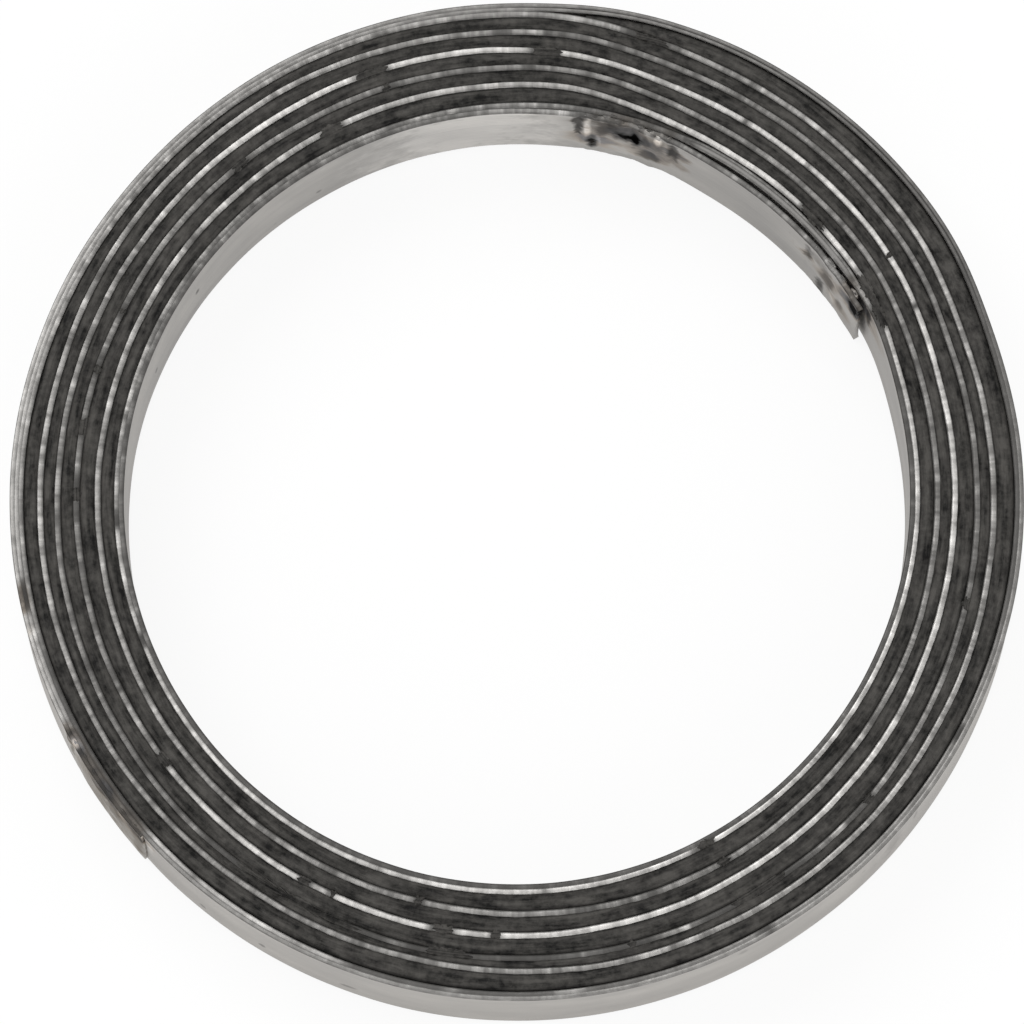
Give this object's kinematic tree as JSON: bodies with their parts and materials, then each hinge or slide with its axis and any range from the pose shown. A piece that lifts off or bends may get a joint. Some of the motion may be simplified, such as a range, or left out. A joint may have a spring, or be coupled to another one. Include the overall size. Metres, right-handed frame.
{
  "type": "exhaust gasket",
  "caption": "Flat round spiral-wound exhaust gasket: thin stainless strip wound on edge with graphite between the turns, bare wraps at bore and rim.",
  "frame": {"origin": "on the bore axis, in the plane of the lower sealing face", "axes": "+Z along the bore axis, out of the upper sealing face; +X and +Y across the ring, the winding grows outward anticlockwise seen from +Z, with the strip's start 29 degrees from +X"},
  "size_m": [0.0362, 0.0362, 0.0058],
  "materials": {
    "stainless_strip": "rolled stainless strip, softly bright, with heat tint at the spot welds",
    "graphite": "matt pressed flexible graphite, mottled dark grey"
  },
  "bodies": {
    "root": {"winding_strip": "stainless_strip", "graphite_filler": "graphite"}
  },
  "joints": []
}
